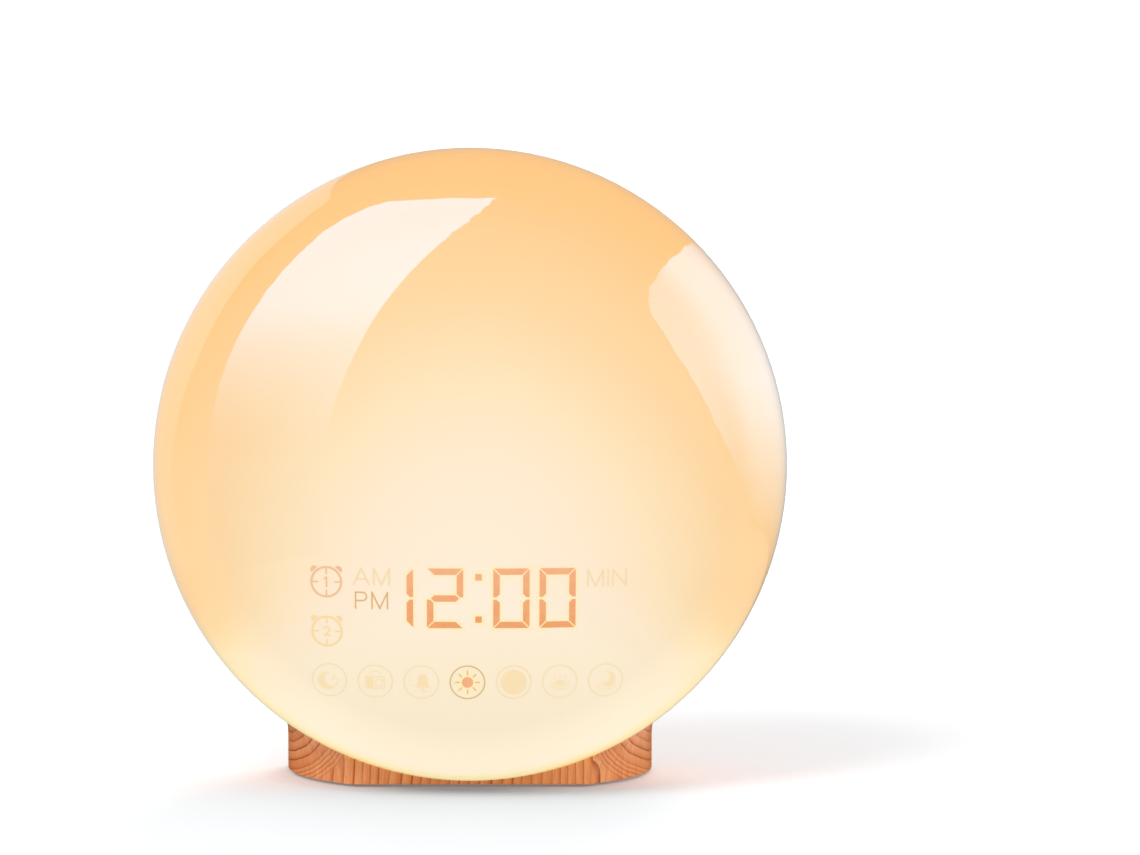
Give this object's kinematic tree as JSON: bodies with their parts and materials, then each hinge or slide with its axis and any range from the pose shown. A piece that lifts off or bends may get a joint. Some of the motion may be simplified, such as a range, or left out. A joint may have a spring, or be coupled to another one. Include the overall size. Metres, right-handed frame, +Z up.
{
  "type": "sunrise alarm clock",
  "caption": "Round bedside alarm clock with a glowing front dome and lit display on a wood-print housing with a flared foot and side buttons.",
  "frame": {"origin": "on the table under the middle of the clock's bounding box", "axes": "+Z up, the dome and display face -Y, +X is the viewer's right"},
  "size_m": [0.1726, 0.09, 0.1723],
  "materials": {
    "capacitor": "sleeved can",
    "chip": "moulded epoxy",
    "connector": "natural nylon",
    "copper": "enamelled wire",
    "diffuser": "translucent, gloss outside",
    "foam": "closed-cell foam",
    "green_board": "green solder mask",
    "led": "phosphor lens",
    "light_guide": "translucent amber",
    "magnet": "ferrite and plated steel",
    "paper_cone": "pressed paper",
    "rubber": "soft matt",
    "steel": "zinc plated",
    "white_board": "white solder mask",
    "white_plastic": "matt white",
    "wire": "flexible insulation",
    "wood_print": "wood-grain print under a satin lacquer"
  },
  "bodies": {
    "clock_body": {"base_plate": "white_plastic", "base_screws": "steel", "cell_clip": "steel", "cell_holder": "white_plastic", "coin_cell": "steel", "dc_jack": "chip", "diffuser_dome": "diffuser", "display_board": "green_board", "display_hood": "white_plastic", "display_light_guides": "light_guide", "display_ribbon": "wire", "display_screws": "steel", "frame_screws": "steel", "front_frame": "white_plastic", "led_board": "white_board", "led_board_screws": "steel", "left_lower_switch_board": "green_board", "left_upper_switch_board": "green_board", "light_leds": "led", "main_board": "green_board", "main_board_capacitors": "capacitor", "main_board_chips": "chip", "main_board_connectors": "connector", "main_board_screws": "steel", "rear_housing": "wood_print", "right_lower_switch_board": "green_board", "right_upper_switch_board": "green_board", "rubber_feet": "rubber", "speaker_basket": "steel", "speaker_cone": "paper_cone", "speaker_dust_cap": "paper_cone", "speaker_gasket": "foam", "speaker_leads": "wire", "speaker_magnet": "magnet", "speaker_screws": "steel", "speaker_surround": "rubber", "speaker_voice_coil": "copper", "tact_switches": "chip", "top_switch_board": "green_board"},
    "left_button_1": {"left_button_1": "wood_print"},
    "left_button_2": {"left_button_2": "wood_print"},
    "left_button_3": {"left_button_3": "wood_print"},
    "left_button_4": {"left_button_4": "wood_print"},
    "left_button_5": {"left_button_5": "wood_print"},
    "right_button_1": {"right_button_1": "wood_print"},
    "right_button_2": {"right_button_2": "wood_print"},
    "right_button_3": {"right_button_3": "wood_print"},
    "right_button_4": {"right_button_4": "wood_print"},
    "right_button_5": {"right_button_5": "wood_print"},
    "snooze_button": {"snooze_button": "wood_print"},
    "battery_door": {"battery_door": "white_plastic"}
  },
  "joints": [
    {"name": "left_press_1", "type": "slide", "parent": "clock_body", "child": "left_button_1", "axis": [0.5948, 0, -0.8039], "range_m": [0, 0.0006], "stiffness_N_per_m": 1500, "springref_m": -0.0003},
    {"name": "left_press_2", "type": "slide", "parent": "clock_body", "child": "left_button_2", "axis": [0.5948, 0, -0.8039], "range_m": [0, 0.0006], "stiffness_N_per_m": 1500, "springref_m": -0.0003},
    {"name": "left_press_3", "type": "slide", "parent": "clock_body", "child": "left_button_3", "axis": [0.5948, 0, -0.8039], "range_m": [0, 0.0006], "stiffness_N_per_m": 1500, "springref_m": -0.0003},
    {"name": "left_press_4", "type": "slide", "parent": "clock_body", "child": "left_button_4", "axis": [0.9563, 0, -0.2924], "range_m": [0, 0.0006], "stiffness_N_per_m": 1500, "springref_m": -0.0003},
    {"name": "left_press_5", "type": "slide", "parent": "clock_body", "child": "left_button_5", "axis": [0.9563, 0, -0.2924], "range_m": [0, 0.0006], "stiffness_N_per_m": 1500, "springref_m": -0.0003},
    {"name": "right_press_1", "type": "slide", "parent": "clock_body", "child": "right_button_1", "axis": [-0.5948, 0, -0.8039], "range_m": [0, 0.0006], "stiffness_N_per_m": 1500, "springref_m": -0.0003},
    {"name": "right_press_2", "type": "slide", "parent": "clock_body", "child": "right_button_2", "axis": [-0.5948, 0, -0.8039], "range_m": [0, 0.0006], "stiffness_N_per_m": 1500, "springref_m": -0.0003},
    {"name": "right_press_3", "type": "slide", "parent": "clock_body", "child": "right_button_3", "axis": [-0.5948, 0, -0.8039], "range_m": [0, 0.0006], "stiffness_N_per_m": 1500, "springref_m": -0.0003},
    {"name": "right_press_4", "type": "slide", "parent": "clock_body", "child": "right_button_4", "axis": [-0.9563, 0, -0.2924], "range_m": [0, 0.0006], "stiffness_N_per_m": 1500, "springref_m": -0.0003},
    {"name": "right_press_5", "type": "slide", "parent": "clock_body", "child": "right_button_5", "axis": [-0.9563, 0, -0.2924], "range_m": [0, 0.0006], "stiffness_N_per_m": 1500, "springref_m": -0.0003},
    {"name": "snooze_press", "type": "slide", "parent": "clock_body", "child": "snooze_button", "axis": [0, 0, -1], "range_m": [0, 0.0006], "stiffness_N_per_m": 1500, "springref_m": -0.0003},
    {"name": "battery_door_turn", "type": "hinge", "parent": "clock_body", "child": "battery_door", "pos_m": [-0.01, 0.024, 0], "axis": [0, 0, 1], "range_deg": [0, 60]}
  ]
}
